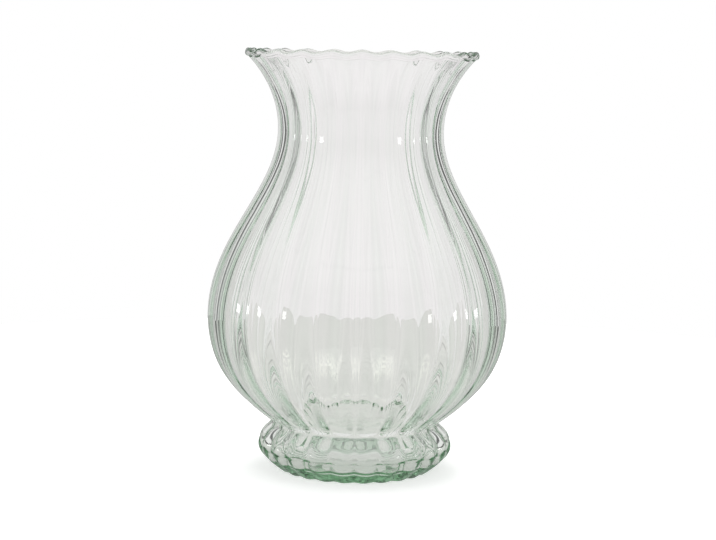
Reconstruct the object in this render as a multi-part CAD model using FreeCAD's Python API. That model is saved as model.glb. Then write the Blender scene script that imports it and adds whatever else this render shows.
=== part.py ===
"""Mouth-blown fan vase: a ribbed glass body with a flared, waved lip on a hollow cushion foot.

Both pieces are walls of glass. Their section lines are carried round the axis through lobed rings:
the ribs of the optic mould run in line from the stand ring to the lip, with a groove at the front.
Millimetres, +Z up, origin at the centre of the ring that the vase stands on.
"""

import FreeCAD
import Part
import math
import os

# Ribs, in line in both pieces, and how far a crest stands out from the grooves beside it.
rib_count = 24
chords_per_rib = 4
stand_rib = 0.8
foot_rib = 1.6
waist_rib = 0.9
bulge_rib = 1.6
neck_rib = 1.1
lip_rib = 1.3
inner_rib_share = 0.35  # the inner face follows the ribs by this much of their depth

# Outline over the crests: the radius and the height where it turns, from the table up.
stand_radius = 50.0
foot_radius = 65.4
foot_height = 17.0
waist_radius = 55.7
waist_height = 32.4
bulge_radius = 100.7
bulge_height = 106.0
neck_radius = 55.7
neck_height = 222.0
lip_radius = 77.7
vase_height = 281.6
stand_slope = 32.0  # degrees up from level, where the foot's side leaves the table
lip_slope = 50.0  # degrees up from level, where the flare ends

# Places on the outline between those, as shares of the step in radius and in height.
under_foot_shares = ((0.46, 0.30), (0.86, 0.66))
over_foot_shares = ((0.35, 0.58), (0.80, 0.86))
bowl_shares = ((0.36, 0.17), (0.82, 0.51))
shoulder_shares = ((0.21, 0.34), (0.69, 0.68))
flare_shares = ((0.20, 0.54), (0.69, 0.86))

# Glass thickness, square to the wall.
foot_wall = 5.0
waist_wall = 5.0
bowl_wall = 3.4
bulge_wall = 2.6
neck_wall = 2.6
lip_wall = 3.8

# Waved lip: its edge rises at the grooves and dips at the crests.
lip_wave = 0.9
lip_wave_length = 16.0  # height over which the wave dies out below the lip

# Foot inside and underneath: thick floor, rounded corner, stand ring and pushed-up dome.
floor_height = 10.0
floor_radius = 42.0
corner_shares = (0.78, 0.26)  # where the corner turns, between the floor's edge and the widest place
stand_width = 4.0
dome_height = 3.5

# Rings that each wall is drawn through.
foot_rings = 7
body_rings = 12
roll_rings = 4


def section_line(points, start_slope=None, end_slope=None):
    """A smooth line through points of (radius, height), with the slope of either end where one is given."""
    places = [FreeCAD.Vector(radius, 0, height) for radius, height in points]
    slopes = [start_slope] + [None] * (len(points) - 2) + [end_slope]
    angles = [math.radians(slope or 0.0) for slope in slopes]
    tangents = [FreeCAD.Vector(math.cos(angle), 0, math.sin(angle)) for angle in angles]
    line = Part.BSplineCurve()
    line.interpolate(Points=places, Tangents=tangents, TangentFlags=[slope is not None for slope in slopes])
    return line


def place_between(start, end, shares):
    """The place that lies between two others by shares of the steps in radius and in height."""
    across, up = shares
    return (start[0] + (end[0] - start[0]) * across, start[1] + (end[1] - start[1]) * up)


def places_along(line, steps):
    """Places evenly spaced along a section line, from its start to its end."""
    length = line.length()
    spots = [
        line.value(line.parameterAtDistance(length * step / steps, line.FirstParameter))
        for step in range(steps + 1)
    ]
    return [(spot.x, spot.z) for spot in spots]


def place_inside(line, place, wall):
    """The place one wall's thickness in from a place on a section line, square to the line."""
    along = line.tangent(line.parameter(FreeCAD.Vector(place[0], 0, place[1])))[0]
    return (place[0] - along.z * wall, place[1] + along.x * wall)


def rib_depth(height):
    """Depth of the ribs on the outer face, eased between the heights where it is named."""
    named = (
        (0.0, stand_rib),
        (foot_height, foot_rib),
        (waist_height, waist_rib),
        (bulge_height, bulge_rib),
        (neck_height, neck_rib),
        (vase_height, lip_rib),
    )
    for (low, first), (high, second) in zip(named, named[1:]):
        if height <= high:
            share = max(0.0, (height - low) / (high - low))
            return first + (second - first) * share**2 * (3 - 2 * share)
    return lip_rib


def wave_at(height):
    """How far the wall rises at a groove and dips at a crest, growing towards the lip."""
    share = 1 - (vase_height - lip_wave - height) / lip_wave_length
    return lip_wave * min(1.0, max(0.0, share)) ** 2


def lobed_ring(place, depth_share):
    """A closed ring of round lobes through a place on a section line, one lobe for each rib."""
    radius, height = place
    depth = rib_depth(height) * depth_share
    wave = wave_at(height)
    chords = rib_count * chords_per_rib
    corners = []
    for corner in range(chords + 1):
        lobe = math.sin(math.pi * (corner % chords_per_rib) / chords_per_rib)
        angle = 2 * math.pi * (corner % chords) / chords
        reach = radius - depth * (1 - lobe)
        level = height + wave * (1 - 2 * lobe)
        corners.append(FreeCAD.Vector(reach * math.cos(angle), reach * math.sin(angle), level))
    return Part.makePolygon(corners)


def outer_rings(places):
    return [lobed_ring(place, 1.0) for place in places]


def inner_rings(places):
    return [lobed_ring(place, inner_rib_share) for place in places]


def wall_faces(rings, straight=False):
    """The faces of a wall through rings: smooth, or straight from each ring to the next."""
    return Part.makeLoft(rings, False, straight).Faces


def level_face(rings):
    """The level face inside one ring, or between two."""
    return Part.makeFace(rings, "Part::FaceMakerBullseye")


def closed_solid(faces):
    """The solid inside faces that meet at their edges."""
    shell = Part.makeShell(faces)
    shell.sewShape()
    solid = Part.makeSolid(shell.Shells[0])
    if solid.Volume < 0:
        solid.reverse()
    return solid


def waist_places():
    """Outer and inner edge of the level face where the body stands on the foot."""
    return (waist_radius, waist_height), (waist_radius - waist_wall, waist_height)


def vase_body():
    """The blown body: bowl, shoulder, neck and flared lip in one wall of glass."""
    waist, waist_inside = waist_places()
    bulge = (bulge_radius, bulge_height)
    neck = (neck_radius, neck_height)

    # The lip is a half round roll that joins the outer face to the inner one.
    roll = lip_wall / 2
    roll_centre = (lip_radius - roll, vase_height - lip_wave - roll)
    roll_places = []
    for step in range(roll_rings + 1):
        turn = math.radians(lip_slope) - math.pi / 2 + math.pi * step / roll_rings
        roll_places.append((roll_centre[0] + roll * math.cos(turn), roll_centre[1] + roll * math.sin(turn)))
    lip, lip_inside = roll_places[0], roll_places[-1]

    bowl = [place_between(waist, bulge, shares) for shares in bowl_shares]
    shoulder = [place_between(bulge, neck, shares) for shares in shoulder_shares]
    flare = [place_between(neck, lip, shares) for shares in flare_shares]
    outside = section_line(
        [waist] + bowl + [bulge] + shoulder + [neck] + flare + [lip],
        end_slope=lip_slope,
    )
    inside = section_line(
        [waist_inside]
        + [place_inside(outside, place, bowl_wall) for place in bowl]
        + [place_inside(outside, place, bulge_wall) for place in [bulge] + shoulder]
        + [place_inside(outside, place, neck_wall) for place in [neck] + flare]
        + [lip_inside],
        end_slope=lip_slope,
    )

    outer = outer_rings(places_along(outside, body_rings))
    inner = inner_rings(places_along(inside, body_rings))
    roll_shares = [1 - (1 - inner_rib_share) * step / roll_rings for step in range(roll_rings + 1)]
    rolled = [lobed_ring(place, share) for place, share in zip(roll_places, roll_shares)]
    faces = (
        wall_faces(outer)
        + wall_faces(rolled, straight=True)
        + wall_faces(inner)
        + [level_face([outer[0], inner[0]])]
    )
    return closed_solid(faces)


def vase_foot():
    """The hollow cushion foot: its wall, its thick floor and the underside domed up to stand on a ring."""
    waist, waist_inside = waist_places()
    stand = (stand_radius, 0.0)
    widest = (foot_radius, foot_height)
    under = [place_between(stand, widest, shares) for shares in under_foot_shares]
    over = [place_between(widest, waist, shares) for shares in over_foot_shares]
    outside = section_line([stand] + under + [widest] + over + [waist], start_slope=stand_slope)

    floor_edge = (floor_radius, floor_height)
    upper_inside = [place_inside(outside, place, foot_wall) for place in [widest] + over]
    corner = place_between(floor_edge, upper_inside[0], corner_shares)
    inside = section_line([floor_edge, corner] + upper_inside + [waist_inside], start_slope=0.0)

    outer = outer_rings(places_along(outside, foot_rings))
    inner = inner_rings(places_along(inside, foot_rings))
    faces = (
        wall_faces(outer)
        + wall_faces(inner, straight=True)
        + [level_face([outer[-1], inner[-1]]), level_face([outer[0]]), level_face([inner[0]])]
    )
    dome_edge = stand_radius - stand_width
    dome_radius = (dome_edge**2 + dome_height**2) / (2 * dome_height)
    dome = Part.makeSphere(dome_radius, FreeCAD.Vector(0, 0, dome_height - dome_radius))
    return closed_solid(faces).cut(dome)


os.makedirs("parts", exist_ok=True)
for name, solid in (("vase_body", vase_body()), ("vase_foot", vase_foot())):
    solid.exportStep("parts/" + name + ".step")
    box = solid.BoundBox
    print(name, "valid", solid.isValid(), "faces", len(solid.Faces), "glass", round(solid.Volume), "mm3")
    print("  reaches", round(box.XMax, 2), "from the axis, heights", round(box.ZMin, 2), round(box.ZMax, 2))
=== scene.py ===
"""Fan vase of mouth-blown ribbed glass, on a pale table under soft studio light.

The real vase is glass without a break from the foot to the lip, so one closed piece stands for both nodes.
Metres, +Z up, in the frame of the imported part; -Y is the front, where a groove faces.
"""

import math

import bpy
import numpy as np
from mathutils import Matrix, Vector


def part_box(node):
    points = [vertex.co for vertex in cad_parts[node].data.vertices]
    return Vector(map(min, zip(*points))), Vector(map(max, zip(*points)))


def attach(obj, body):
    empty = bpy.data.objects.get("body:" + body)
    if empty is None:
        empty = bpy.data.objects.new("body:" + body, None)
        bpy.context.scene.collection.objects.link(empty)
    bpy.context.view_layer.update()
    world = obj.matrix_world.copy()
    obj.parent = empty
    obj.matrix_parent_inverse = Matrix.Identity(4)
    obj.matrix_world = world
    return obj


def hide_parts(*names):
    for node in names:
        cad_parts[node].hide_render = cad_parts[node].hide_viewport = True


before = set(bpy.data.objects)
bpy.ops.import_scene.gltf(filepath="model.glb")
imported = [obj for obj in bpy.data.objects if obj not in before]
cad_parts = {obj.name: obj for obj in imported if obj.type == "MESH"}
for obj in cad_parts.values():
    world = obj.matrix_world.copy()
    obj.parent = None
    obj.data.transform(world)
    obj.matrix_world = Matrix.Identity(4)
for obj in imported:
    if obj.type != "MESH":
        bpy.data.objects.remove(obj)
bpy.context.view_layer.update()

foot_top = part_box("vase_foot")[1].z
body_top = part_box("vase_body")[1].z

# Hand-made play: how far the glass wanders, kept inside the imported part's box.
sway = 0.00025
sway_detail = 9.0  # noise cells to the metre
ripple = 0.00012
ripple_detail = 42.0
ripple_outside_share = 0.3  # the outer face has this much of the ripple, the inner face all of it
play_seed = 7

# Outline over the rib crests, from the table up.
stand_radius = 0.0500
foot_radius = 0.0652
foot_height = 0.0170
waist_radius = 0.0556
waist_height = foot_top
bulge_radius = 0.1003
bulge_height = 0.1060
neck_radius = 0.0556
neck_height = 0.2220
lip_radius = 0.0776
lip_height = body_top - 2 * sway
stand_slope = 32.0  # degrees up from level, where the foot's side leaves the table
lip_slope = 50.0  # degrees up from level, where the flare ends

# Places on the outline between those, as shares of the step in radius and in height.
under_foot_shares = ((0.46, 0.30), (0.86, 0.66))
over_foot_shares = ((0.35, 0.58), (0.80, 0.86))
bowl_shares = ((0.36, 0.17), (0.82, 0.51))
shoulder_shares = ((0.21, 0.34), (0.69, 0.68))
flare_shares = ((0.20, 0.54), (0.69, 0.86))

# Ribs: how far a crest stands out from the grooves beside it, at heights up the vase.
rib_count = 24
rib_heights = (0.0, 0.008, foot_height, waist_height, bulge_height, neck_height, body_top)
rib_depths = (0.0008, 0.0015, 0.0024, 0.0011, 0.0020, 0.0016, 0.0008)
inner_rib_shares = (0.8, 0.8, 0.3, -0.4, 0.0, 0.0, 0.0)  # how far the inner face follows them
groove_width = 0.24  # 0 is a sharp groove, 1 nearly a plain wave

# Glass thickness, square to the wall, at heights up the vase.
wall_heights = (0.0, foot_height, waist_height, 0.045, 0.070, bulge_height, neck_height, 0.272, body_top)
walls = (0.0060, 0.0042, 0.0036, 0.0036, 0.0034, 0.0034, 0.0032, 0.0024, 0.0022)

# Waved, fire-polished lip: its edge rises at the grooves and dips at the crests.
lip_wave = 0.0008
lip_wave_length = 0.016  # height over which the wave dies out below the lip
bead_wrap = 56.0  # degrees that the lip's bead turns on past half round, into the wall

# Foot inside: a floor raised at its middle, with a trough round it below the wall.
floor_height = 0.0100
trough_height = 0.0080
corner_height = 0.0060  # above the trough, where the wall turns in towards it
trough_steps = ((0.0012, 0.0028), (0.0052, 0.0006), (0.0120, 0.0004))  # in from the wall, above the trough
crown_share = 0.4  # of the wall's radius, where the floor nears its full height
crown_drop = 0.0006

# Underside, pushed up into a dome inside the stand ring.
dome_height = 0.0050
dome_radius = 0.0460
dome_rib_share = 0.5  # of the ribs' depth at the dome's edge

# Mesh: rows along each stretch of the section and columns across each rib.
foot_rows = 64
body_rows = 140
roll_rows = 15
floor_rows = 14
dome_rows = 10
columns_per_rib = 10
crease_passes = 4  # how often the rows near the crease are evened out, so that it isn't knife-sharp
crease_reach = 3  # rows on either side of it
fine_steps = 40  # drawn for each row of a smooth line before its rows are spaced evenly
merge_distance = 1e-6

# Clear soda glass.
glass_ior = 1.5
glass_tint = (0.31, 0.64, 0.38)
glass_density = 21.0
glass_shadow = 0.76  # share of a lamp's light that shines through the vase
light_bounces = 40  # fewer leave black bands where light is caught in the thick foot

# Camera, placed as the photograph was taken.
camera_distance = 1.265
camera_height = 0.2856
camera_pitch = 6.81  # degrees down
camera_roll = 1.15  # degrees
picture_width = 716
focal_pixels = 1900.0
sensor_width = 36.0

# Table.
table_radius = 0.70
table_corners = 96
table_shade = (0.76, 0.742, 0.728)
table_glow = 0.30  # keeps it white to the camera outside the shadow
table_through_share = 0.55  # share of its own light in what shows through the glass
flags_from = 0.09  # distance from the axis where the painted shade of the studio's dark screens begins on the table
flags_full = 0.26  # and where that painted shade is full

# Painted patch of light on the table behind the vase, standing in for the light that the vase throws there:
# middle, half size, colour and streaks.
caught_place = (-0.016, 0.368, 0.0)
caught_size = (0.070, 0.060, 1.0)
caught_colour = (1.0, 0.97, 0.86)
caught_strength = 0.40
caught_fade = (0.6, 1.1)  # shares of the half size between which it fades out
streak_detail = (14.0, 3.0, 1.0)
streak_levels = (0.46, 0.56)  # noise between which a streak brightens
streak_octaves = 3.0
streak_roughness = 0.6

# Studio walls by direction: share of a half turn from straight behind the vase, and their brightness. The
# same stops also paint the screens' shade on the table.
wall_stops = (
    (0.0, 0.94),
    (0.02, 0.88),
    (0.04, 0.95),
    (0.07, 0.88),
    (0.10, 0.95),
    (0.14, 0.95),
    (0.15, 0.50),
    (0.16, 0.95),
    (0.19, 0.95),
    (0.20, 0.10),
    (0.235, 0.10),
    (0.245, 0.95),
    (0.27, 0.95),
    (0.28, 0.10),
    (0.32, 0.10),
    (0.33, 0.92),
    (1.0, 0.85),
)
daylight = (1.0, 0.955, 0.975)
room_level = 0.715  # what lights the table
mirror_level = 0.35  # what the glass mirrors at the height of the walls
ceiling_level = 1.5  # and overhead
ceiling_rise = (0.3, 0.7)  # heights in the direction between which the ceiling takes over
window_level = 7.0  # and in a window on either side
window_turn = (0.52, 0.035)  # share of the half turn from straight behind: middle and half width
window_rise = (0.05, 0.045)  # height in the direction: middle and half height

# Lamp overhead.
lamp_place = (0.05, 0.25, 1.6)
lamp_aim = (0.0, 0.0, 0.0)
lamp_size = 1.2
lamp_power = 16.0


def between(start, end, shares):
    """The place that lies between two others by shares of the steps in radius and in height."""
    across, up = shares
    return (start[0] + (end[0] - start[0]) * across, start[1] + (end[1] - start[1]) * up)


def smooth_line(places, rows, start_slope=None, end_slope=None):
    """Evenly spaced places along a smooth line through a few, with the slope of an end where one is given."""
    places = np.array(places, float)
    steps = np.hypot(*np.diff(places, axis=0).T)
    along = np.concatenate([[0.0], np.cumsum(steps)])
    count = len(places)
    system = np.zeros((count, count))
    target = np.zeros((count, 2))
    for row in range(1, count - 1):
        before, after = steps[row - 1], steps[row]
        system[row, row - 1:row + 2] = before, 2 * (before + after), after
        target[row] = 6 * (
            (places[row + 1] - places[row]) / after - (places[row] - places[row - 1]) / before
        )
    for row, slope, step, chord in (
        (0, start_slope, steps[0], places[1] - places[0]),
        (count - 1, end_slope, steps[-1], places[-1] - places[-2]),
    ):
        inner = 1 if row == 0 else count - 2
        if slope is None:
            system[row, row] = 1
            continue
        way = np.array([math.cos(math.radians(slope)), math.sin(math.radians(slope))])
        system[row, row], system[row, inner] = 2 * step, step
        target[row] = 6 * (chord / step - way) * (1 if row == 0 else -1)
    bends = np.linalg.solve(system, target)
    fine = np.linspace(0, along[-1], fine_steps * rows)
    span = np.clip(np.searchsorted(along, fine, side="right") - 1, 0, count - 2)
    step = steps[span][:, None]
    left = (fine - along[span])[:, None]
    right = step - left
    line = (
        (bends[span] * right**3 + bends[span + 1] * left**3) / (6 * step)
        + (places[span] / step - bends[span] * step / 6) * right
        + (places[span + 1] / step - bends[span + 1] * step / 6) * left
    )
    return respaced(line, rows)


def respaced(line, rows):
    """The same line through evenly spaced places."""
    along = np.concatenate([[0.0], np.cumsum(np.hypot(*np.diff(line, axis=0).T))])
    even = np.linspace(0, along[-1], rows)
    return np.stack([np.interp(even, along, line[:, axis]) for axis in (0, 1)], axis=1)


def eased(heights, named_heights, values):
    """Values that are named at a few heights, eased between them."""
    spans = np.interp(heights, named_heights, np.arange(len(values)))
    first = np.minimum(spans.astype(int), len(values) - 2)
    share = spans - first
    share = share**2 * (3 - 2 * share)
    values = np.array(values)
    return values[first] * (1 - share) + values[first + 1] * share


def outward(line):
    """Directions square to a line that is walked with the glass on its left."""
    way = np.gradient(line, axis=0)
    square = np.stack([way[:, 1], -way[:, 0]], axis=1)
    return square / np.linalg.norm(square, axis=1)[:, None]


def outer_line():
    """The outside in section, from the stand ring over the crease at the waist to the lip's edge."""
    stand = (stand_radius, 0.0)
    widest = (foot_radius, foot_height)
    waist = (waist_radius, waist_height)
    bulge = (bulge_radius, bulge_height)
    neck = (neck_radius, neck_height)
    roll = lip_roll()
    lip = tuple(roll[0])
    foot = smooth_line(
        [stand]
        + [between(stand, widest, shares) for shares in under_foot_shares]
        + [widest]
        + [between(widest, waist, shares) for shares in over_foot_shares]
        + [waist],
        foot_rows,
        start_slope=stand_slope,
    )
    body = smooth_line(
        [waist]
        + [between(waist, bulge, shares) for shares in bowl_shares]
        + [bulge]
        + [between(bulge, neck, shares) for shares in shoulder_shares]
        + [neck]
        + [between(neck, lip, shares) for shares in flare_shares]
        + [lip],
        body_rows,
        end_slope=lip_slope,
    )
    line = np.concatenate([foot, body[1:]])
    crease = foot_rows - 1
    first, last = crease - crease_reach, crease + crease_reach + 1
    for _ in range(crease_passes):
        line[first:last] = (line[first:last] * 2 + line[first - 1:last - 1] + line[first + 1:last + 1]) / 4
    return line


def lip_roll():
    """The lip's bead in section, from the outer face over the top to the inner one."""
    wrap = math.radians(bead_wrap)
    bead = walls[-1] / 2 / math.cos(wrap)
    centre = (lip_radius - bead, lip_height - lip_wave - bead)
    half_turn = math.pi / 2 + wrap
    turns = math.radians(lip_slope) + np.linspace(-half_turn, half_turn, roll_rows)
    return np.stack([centre[0] + bead * np.cos(turns), centre[1] + bead * np.sin(turns)], axis=1)


def section():
    """The closed section of the glass, walked from under the foot, up the outside and down the inside.

    Returns the places and, for each, what the ribs, the wave and the hand-made play do there.
    """
    outer = outer_line()
    across = outward(outer)
    inner = outer - across * eased(outer[:, 1], wall_heights, walls)[:, None]
    first = int(np.argmax(inner[:, 1] > trough_height + corner_height))
    inner, inner_across = inner[first:], across[first:]
    corner = inner[0]
    floor = smooth_line(
        [corner]
        + [(corner[0] - inwards, trough_height + above) for inwards, above in trough_steps]
        + [(corner[0] * crown_share, floor_height - crown_drop), (0.0, floor_height)],
        floor_rows,
    )
    roll = lip_roll()
    radii = np.linspace(0, dome_radius, dome_rows)
    dome = np.stack([radii, dome_height * (1 - (radii / dome_radius) ** 2)], axis=1)
    line = np.concatenate([dome, outer, roll[1:-1], inner[::-1], floor[1:]])
    squares = np.concatenate(
        [
            np.tile(across[0], (len(dome), 1)),
            across,
            np.tile(across[-1], (len(roll) - 2, 1)),
            inner_across[::-1],
            np.tile(inner_across[0], (len(floor) - 1, 1)),
        ]
    )
    inside_share = np.concatenate(
        [
            np.zeros(len(dome) + len(outer)),
            np.linspace(0, 1, len(roll))[1:-1],
            np.ones(len(inner) + len(floor) - 1),
        ]
    )
    fade = np.ones(len(line))
    fade[:len(dome)] = (radii / dome_radius) ** 3 * dome_rib_share
    fade[-len(floor) + 1:] = (floor[1:, 0] / corner[0]) ** 3
    depth = eased(line[:, 1], rib_heights, rib_depths) * fade
    depth *= 1 - (1 - eased(line[:, 1], rib_heights, inner_rib_shares)) * inside_share
    rise = np.clip(1 - (lip_height - lip_wave - line[:, 1]) / lip_wave_length, 0, 1) ** 2
    loose = np.clip(line[:, 1] / foot_height, 0, 1)
    ripple_share = ripple_outside_share + (1 - ripple_outside_share) * inside_share
    return line, squares, {
        "rib_depth": depth,
        "wave": lip_wave * rise,
        "sway": sway * loose * fade,
        "ripple": ripple * loose * ripple_share * fade,
    }


def section_object():
    """The section as a row of points that carry how the glass varies there."""
    line, squares, amounts = section()
    mesh = bpy.data.meshes.new("glass_section")
    mesh.from_pydata([(radius, 0.0, height) for radius, height in line], [], [])
    across = mesh.attributes.new("across", "FLOAT_VECTOR", "POINT")
    across.data.foreach_set("vector", np.insert(squares, 1, 0.0, axis=1).ravel())
    for name, values in amounts.items():
        layer = mesh.attributes.new(name, "FLOAT", "POINT")
        layer.data.foreach_set("value", values)
    piece = bpy.data.objects.new("vase_glass", mesh)
    bpy.context.scene.collection.objects.link(piece)
    return piece


def node(tree, kind, inputs=None, **settings):
    """A node with its settings; its inputs, by name or number, are values or sockets to link."""
    made = tree.nodes.new(kind)
    for name, value in settings.items():
        setattr(made, name, value)
    for place, value in (inputs or {}).items():
        if isinstance(value, bpy.types.NodeSocket):
            tree.links.new(value, made.inputs[place])
        else:
            made.inputs[place].default_value = value
    return made


def calc(tree, operation, *values):
    """The result of a sum on numbers or sockets."""
    return node(tree, "ShaderNodeMath", dict(enumerate(values)), operation=operation).outputs[0]


def vector_calc(tree, operation, *values):
    """The result of a sum on vectors; a length is a number."""
    result = "Value" if operation == "LENGTH" else "Vector"
    return node(tree, "ShaderNodeVectorMath", dict(enumerate(values)), operation=operation).outputs[result]


def ranged(tree, value, start, end, at_start=0.0, at_end=1.0):
    """A value carried from one range to another, and held at its ends."""
    limits = {"From Min": start, "From Max": end, "To Min": at_start, "To Max": at_end}
    return node(tree, "ShaderNodeMapRange", {"Value": value, **limits}).outputs[0]


def tinted(tree, share, colour, tint):
    """A colour multiplied by another, by a share; 6, 7 and 2 are the node's sockets for colours."""
    inputs = {0: share, 6: colour, 7: tint}
    return node(tree, "ShaderNodeMix", inputs, data_type="RGBA", blend_type="MULTIPLY").outputs[2]


def shader_mix(tree, share, first, second):
    """One shader over another, by a share."""
    return node(tree, "ShaderNodeMixShader", {0: share, 1: first, 2: second}).outputs[0]


def shader_sum(tree, first, second):
    return node(tree, "ShaderNodeAddShader", {0: first, 1: second}).outputs[0]


def emission(tree, **inputs):
    return node(tree, "ShaderNodeEmission", inputs).outputs[0]


def background(tree, **inputs):
    return node(tree, "ShaderNodeBackground", {"Color": (1, 1, 1, 1), **inputs}).outputs[0]


def sampled(tree, rows, kind, field, row):
    """A field of the section's points, read at one of its rows."""
    reader = node(tree, "GeometryNodeSampleIndex", data_type=kind, domain="POINT")
    tree.links.new(rows, reader.inputs["Geometry"])
    tree.links.new(field, reader.inputs["Value"])
    tree.links.new(row, reader.inputs["Index"])
    return reader.outputs["Value"]


def named_field(tree, name, kind):
    return node(tree, "GeometryNodeInputNamedAttribute", {"Name": name}, data_type=kind).outputs["Attribute"]


def noise_field(tree, place, detail, seed):
    """Smooth noise about zero, from -1 to 1, that stays the same for a seed."""
    made = node(
        tree,
        "ShaderNodeTexNoise",
        {"Vector": place, "W": seed, "Scale": detail, "Detail": 1.0},
        noise_dimensions="4D",
    )
    return calc(tree, "MULTIPLY_ADD", made.outputs[0], 2.0, -1.0)


def rib_lobe(tree, rib_turn, width):
    """How far a rib stands up across its width: 0 in the groove and 1 on the crest."""
    wide = calc(tree, "MULTIPLY", width, width)
    half_sine = calc(tree, "SINE", calc(tree, "MULTIPLY", rib_turn, 0.5))
    rounded = calc(tree, "SQRT", calc(tree, "MULTIPLY_ADD", half_sine, half_sine, wide))
    full = calc(tree, "SUBTRACT", calc(tree, "SQRT", calc(tree, "ADD", wide, 1.0)), width)
    return calc(tree, "DIVIDE", calc(tree, "SUBTRACT", rounded, width), full)


def round_the_axis(tree, side, front, reach, level):
    """A place from its reach out of the axis and its level, on the side that a turn gives."""
    across, along = calc(tree, "MULTIPLY", side, reach), calc(tree, "MULTIPLY", front, reach)
    return node(tree, "ShaderNodeCombineXYZ", {0: across, 1: along, 2: level}).outputs[0]


def finished_mesh(tree, shape, material):
    """A mesh with its seam and poles closed, its faces outwards and smooth, and its material set."""
    shape = node(
        tree, "GeometryNodeMergeByDistance", {"Geometry": shape, "Distance": merge_distance}
    ).outputs[0]
    shape = node(tree, "GeometryNodeFlipFaces", {"Mesh": shape}).outputs[0]
    shape = node(tree, "GeometryNodeSetShadeSmooth", {"Geometry": shape}).outputs[0]
    shape = node(tree, "GeometryNodeRealizeInstances", {"Geometry": shape}).outputs[0]
    return node(tree, "GeometryNodeSetMaterial", {"Geometry": shape, "Material": material}).outputs[0]


def blown_glass_tree():
    """Geometry Nodes that carry the section round the axis, pressed into ribs and waved at the lip."""
    tree = bpy.data.node_groups.new("blown_ribbed_glass", "GeometryNodeTree")
    ways = tree.interface
    ways.new_socket("Section", in_out="INPUT", socket_type="NodeSocketGeometry")
    for name, kind in (
        ("Ribs", "NodeSocketInt"),
        ("Columns per rib", "NodeSocketInt"),
        ("Groove width", "NodeSocketFloat"),
        ("Sway detail", "NodeSocketFloat"),
        ("Ripple detail", "NodeSocketFloat"),
        ("Seed", "NodeSocketFloat"),
        ("Glass", "NodeSocketMaterial"),
    ):
        ways.new_socket(name, in_out="INPUT", socket_type=kind)
    ways.new_socket("Vase", in_out="OUTPUT", socket_type="NodeSocketGeometry")
    given = node(tree, "NodeGroupInput").outputs

    points = given["Section"]
    row_count = node(tree, "GeometryNodeAttributeDomainSize", {"Geometry": points}).outputs["Point Count"]
    columns = calc(tree, "MULTIPLY", given["Ribs"], given["Columns per rib"])
    seam_columns = calc(tree, "ADD", columns, 1.0)
    size = {"Vertices X": row_count, "Vertices Y": seam_columns}
    grid = node(tree, "GeometryNodeMeshGrid", size).outputs["Mesh"]
    index = node(tree, "GeometryNodeInputIndex").outputs[0]
    row = calc(tree, "FLOOR", calc(tree, "DIVIDE", calc(tree, "ADD", index, 0.5), seam_columns))
    column = calc(tree, "SUBTRACT", index, calc(tree, "MULTIPLY", row, seam_columns))
    column = calc(tree, "MODULO", column, columns)

    place = sampled(tree, points, "FLOAT_VECTOR", node(tree, "GeometryNodeInputPosition").outputs[0], row)
    across = sampled(tree, points, "FLOAT_VECTOR", named_field(tree, "across", "FLOAT_VECTOR"), row)
    depth, wave, sway_size, ripple_size = (
        sampled(tree, points, "FLOAT", named_field(tree, name, "FLOAT"), row)
        for name in ("rib_depth", "wave", "sway", "ripple")
    )
    place = node(tree, "ShaderNodeSeparateXYZ", {0: place}).outputs
    across = node(tree, "ShaderNodeSeparateXYZ", {0: across}).outputs

    turn = calc(tree, "MULTIPLY", calc(tree, "DIVIDE", column, columns), math.tau)
    rib_turn = calc(tree, "MULTIPLY", turn, given["Ribs"])
    lobe = rib_lobe(tree, rib_turn, given["Groove width"])
    side = calc(tree, "SINE", turn)
    front = calc(tree, "MULTIPLY", calc(tree, "COSINE", turn), -1.0)
    spot = round_the_axis(tree, side, front, place["X"], place["Z"])
    out_by = calc(tree, "MULTIPLY", depth, calc(tree, "SUBTRACT", lobe, 1.0))
    swayed = noise_field(tree, spot, given["Sway detail"], given["Seed"])
    rippled = noise_field(tree, spot, given["Ripple detail"], given["Seed"])
    out_by = calc(tree, "MULTIPLY_ADD", swayed, sway_size, out_by)
    out_by = calc(tree, "MULTIPLY_ADD", rippled, ripple_size, out_by)

    reach = calc(tree, "MULTIPLY_ADD", across["X"], out_by, place["X"])
    level = calc(tree, "MULTIPLY_ADD", across["Z"], out_by, place["Z"])
    level = calc(tree, "MULTIPLY_ADD", calc(tree, "COSINE", rib_turn), wave, level)
    there = round_the_axis(tree, side, front, reach, level)

    shape = node(tree, "GeometryNodeSetPosition", {"Geometry": grid, "Position": there}).outputs[0]
    node(tree, "NodeGroupOutput", {"Vase": finished_mesh(tree, shape, given["Glass"])})
    return tree


def set_inputs(modifier, **values):
    """Sets a modifier's inputs through their identifiers; a name's spaces are written as underscores."""
    for item in modifier.node_group.interface.items_tree:
        if item.in_out == "INPUT" and item.name.replace(" ", "_") in values:
            modifier[item.identifier] = values[item.name.replace(" ", "_")]


def vase_glass(material):
    """The whole vase as one closed piece of glass."""
    piece = section_object()
    modifier = piece.modifiers.new("blow", "NODES")
    modifier.node_group = blown_glass_tree()
    set_inputs(
        modifier,
        Ribs=rib_count,
        Columns_per_rib=columns_per_rib,
        Groove_width=groove_width,
        Sway_detail=sway_detail,
        Ripple_detail=ripple_detail,
        Seed=float(play_seed),
        Glass=material,
    )
    bpy.context.view_layer.update()
    ready = piece.evaluated_get(bpy.context.evaluated_depsgraph_get())
    mesh = bpy.data.meshes.new_from_object(ready)
    piece.modifiers.remove(modifier)
    piece.data = mesh
    return piece


def empty_material(name):
    """A material with an empty tree, and that tree."""
    material = bpy.data.materials.new(name)
    material.use_nodes = True
    material.node_tree.nodes.clear()
    return material, material.node_tree


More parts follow.
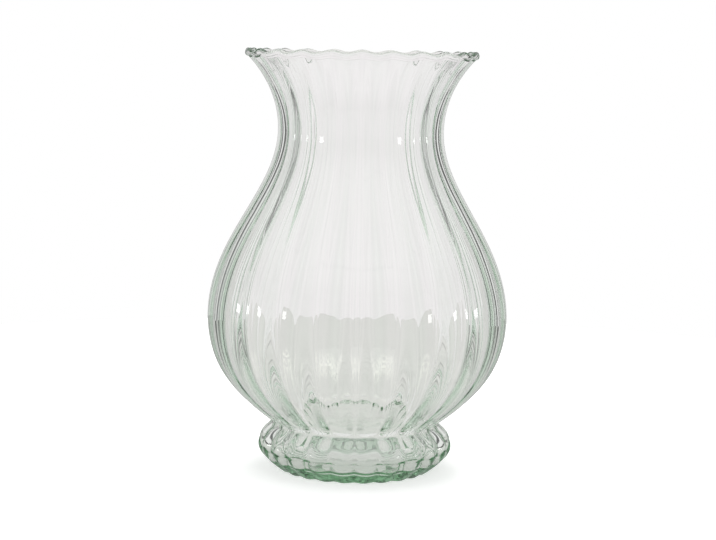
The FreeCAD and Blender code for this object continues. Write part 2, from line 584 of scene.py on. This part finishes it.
def glass_material():
    """Clear soda glass, faintly green through its thickness; lamps shine through it."""
    material, tree = empty_material("green_tinted_glass")
    glass = node(
        tree,
        "ShaderNodeBsdfPrincipled",
        {"Base Color": (1, 1, 1, 1), "Roughness": 0.0, "IOR": glass_ior, "Transmission Weight": 1.0},
    )
    dimmed = {"Color": (glass_shadow, glass_shadow, glass_shadow, 1)}
    lamp_light = node(tree, "ShaderNodeBsdfTransparent", dimmed).outputs[0]
    lamp_ray = node(tree, "ShaderNodeLightPath").outputs["Is Shadow Ray"]
    surface = shader_mix(tree, lamp_ray, glass.outputs[0], lamp_light)
    green = {"Color": (*glass_tint, 1), "Density": glass_density}
    volume = node(tree, "ShaderNodeVolumeAbsorption", green).outputs[0]
    node(tree, "ShaderNodeOutputMaterial", {"Surface": surface, "Volume": volume})
    return material


def turn_share(tree, way):
    """A direction's share of the half turn from straight behind the vase to the camera's side."""
    way = node(tree, "ShaderNodeSeparateXYZ", {0: way}).outputs
    turn = calc(tree, "ABSOLUTE", calc(tree, "ARCTAN2", way["X"], way["Y"]))
    return calc(tree, "DIVIDE", turn, math.pi)


def wall_level(tree, way):
    """How bright the studio's walls are in a direction, or, over a place on the table, the painted shade that
    they lay there.
    """
    ramp = node(tree, "ShaderNodeValToRGB", {0: turn_share(tree, way)})
    stops = ramp.color_ramp.elements
    for number, (place, level) in enumerate(wall_stops):
        stop = stops[number] if number < len(stops) else stops.new(place)
        stop.position = place
        stop.color = (level, level, level, 1)
    return ramp.outputs[0]


def painted_caught_light(tree, spot):
    """A painted patch of streaky light on the table behind the vase, standing in for the light that the vase
    throws there, seen only through the glass.
    """
    scaled = vector_calc(tree, "DIVIDE", vector_calc(tree, "SUBTRACT", spot, caught_place), caught_size)
    near = ranged(tree, vector_calc(tree, "LENGTH", scaled), *caught_fade, at_start=1.0, at_end=0.0)
    streaks = node(
        tree,
        "ShaderNodeTexNoise",
        {
            "Vector": vector_calc(tree, "MULTIPLY", scaled, streak_detail),
            "Scale": 1.0,
            "Detail": streak_octaves,
            "Roughness": streak_roughness,
        },
    )
    bright = ranged(tree, streaks.outputs[0], *streak_levels)
    strength = calc(tree, "MULTIPLY", calc(tree, "MULTIPLY", near, bright), caught_strength)
    return emission(tree, Color=(*caught_colour, 1), Strength=strength)


def table_material():
    """White with the vase's shadow to the camera, and greyer through the glass or mirrored in it; through the
    glass it also carries painted shade from the studio's screens and a painted patch of light.
    """
    material, tree = empty_material("table")
    path = node(tree, "ShaderNodeLightPath").outputs
    spot = node(tree, "ShaderNodeTexCoord").outputs["Object"]
    far_share = ranged(tree, vector_calc(tree, "LENGTH", spot), flags_from, flags_full)
    # Painted shade: the table's colour is darkened by the studio walls' brightness in its direction from the
    # axis, from flags_from outwards.
    shade = tinted(tree, far_share, (*table_shade, 1), wall_level(tree, spot))
    # The table glows with its own colour, plus the painted patch of light.
    lit = shader_sum(tree, emission(tree, Color=shade), painted_caught_light(tree, spot))
    pale = node(tree, "ShaderNodeBsdfDiffuse", {"Color": shade}).outputs[0]
    through = shader_mix(tree, table_through_share, pale, lit)
    bounced = calc(tree, "SUBTRACT", path["Is Glossy Ray"], path["Is Transmission Ray"])
    seen = shader_mix(tree, bounced, through, emission(tree, Strength=mirror_level))
    white = node(tree, "ShaderNodeBsdfDiffuse", {"Color": (1, 1, 1, 1)}).outputs[0]
    bright = shader_sum(tree, white, emission(tree, Strength=table_glow))
    seen = shader_mix(tree, path["Is Camera Ray"], seen, bright)
    node(tree, "ShaderNodeOutputMaterial", {"Surface": seen})
    return material


def table():
    """A round pale table, on the stage."""
    turns = [math.tau * corner / table_corners for corner in range(table_corners)]
    mesh = bpy.data.meshes.new("table")
    mesh.from_pydata(
        [(table_radius * math.cos(turn), table_radius * math.sin(turn), 0.0) for turn in turns],
        [],
        [range(table_corners)],
    )
    mesh.materials.append(table_material())
    piece = bpy.data.objects.new("table", mesh)
    bpy.context.scene.collection.objects.link(piece)


def studio():
    """Soft surroundings: white to the camera, brighter through the glass than mirrored in it."""
    world = bpy.data.worlds.new("studio")
    bpy.context.scene.world = world
    world.use_nodes = True
    tree = world.node_tree
    tree.nodes.clear()
    path = node(tree, "ShaderNodeLightPath").outputs
    way = node(tree, "ShaderNodeTexCoord").outputs["Generated"]
    rise = node(tree, "ShaderNodeSeparateXYZ", {0: way}).outputs["Z"]
    overhead = ranged(tree, rise, *ceiling_rise, at_start=mirror_level, at_end=ceiling_level)
    in_turn = calc(tree, "COMPARE", turn_share(tree, way), *window_turn)
    in_rise = calc(tree, "COMPARE", rise, *window_rise)
    window = calc(tree, "MULTIPLY", in_turn, in_rise)

    room = background(tree, Strength=room_level)
    mirrored = background(tree, Strength=calc(tree, "MULTIPLY_ADD", window, window_level, overhead))
    through = background(tree, Color=tinted(tree, 1.0, wall_level(tree, way), (*daylight, 1)))
    seen = shader_mix(tree, path["Is Glossy Ray"], room, mirrored)
    seen = shader_mix(tree, path["Is Transmission Ray"], seen, through)
    seen = shader_mix(tree, path["Is Camera Ray"], seen, background(tree, Strength=1.0))
    node(tree, "ShaderNodeOutputWorld", {"Surface": seen})


def lamp():
    """A square soft lamp over the table, which shows neither in the glass nor through it."""
    light = bpy.data.lights.new("top", "AREA")
    light.energy = lamp_power
    light.size = lamp_size
    holder = bpy.data.objects.new("top", light)
    bpy.context.scene.collection.objects.link(holder)
    holder.location = lamp_place
    holder.rotation_euler = (Vector(lamp_aim) - Vector(lamp_place)).to_track_quat("-Z", "Y").to_euler()
    holder.visible_glossy = False
    holder.visible_transmission = False


def camera():
    """The camera, at the photograph's distance, height, tilt and framing."""
    lens = bpy.data.cameras.new("camera")
    lens.sensor_width = sensor_width
    lens.lens = sensor_width * focal_pixels / picture_width
    holder = bpy.data.objects.new("camera", lens)
    bpy.context.scene.collection.objects.link(holder)
    stand = Matrix.Translation((0.0, -camera_distance, camera_height))
    tilt = Matrix.Rotation(math.radians(90 - camera_pitch), 4, "X")
    roll = Matrix.Rotation(math.radians(camera_roll), 4, "Z")
    holder.matrix_world = stand @ tilt @ roll
    bpy.context.scene.camera = holder


def light_paths():
    """Enough bounces for the light that is caught in thick glass."""
    cycles = bpy.context.scene.cycles
    cycles.max_bounces = light_bounces
    cycles.transmission_bounces = light_bounces
    cycles.glossy_bounces = light_bounces


camera()
table()
studio()
lamp()
light_paths()
bpy.context.scene.view_settings.view_transform = "Standard"

glass = vase_glass(glass_material())
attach(glass, "root")
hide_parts("vase_body", "vase_foot")
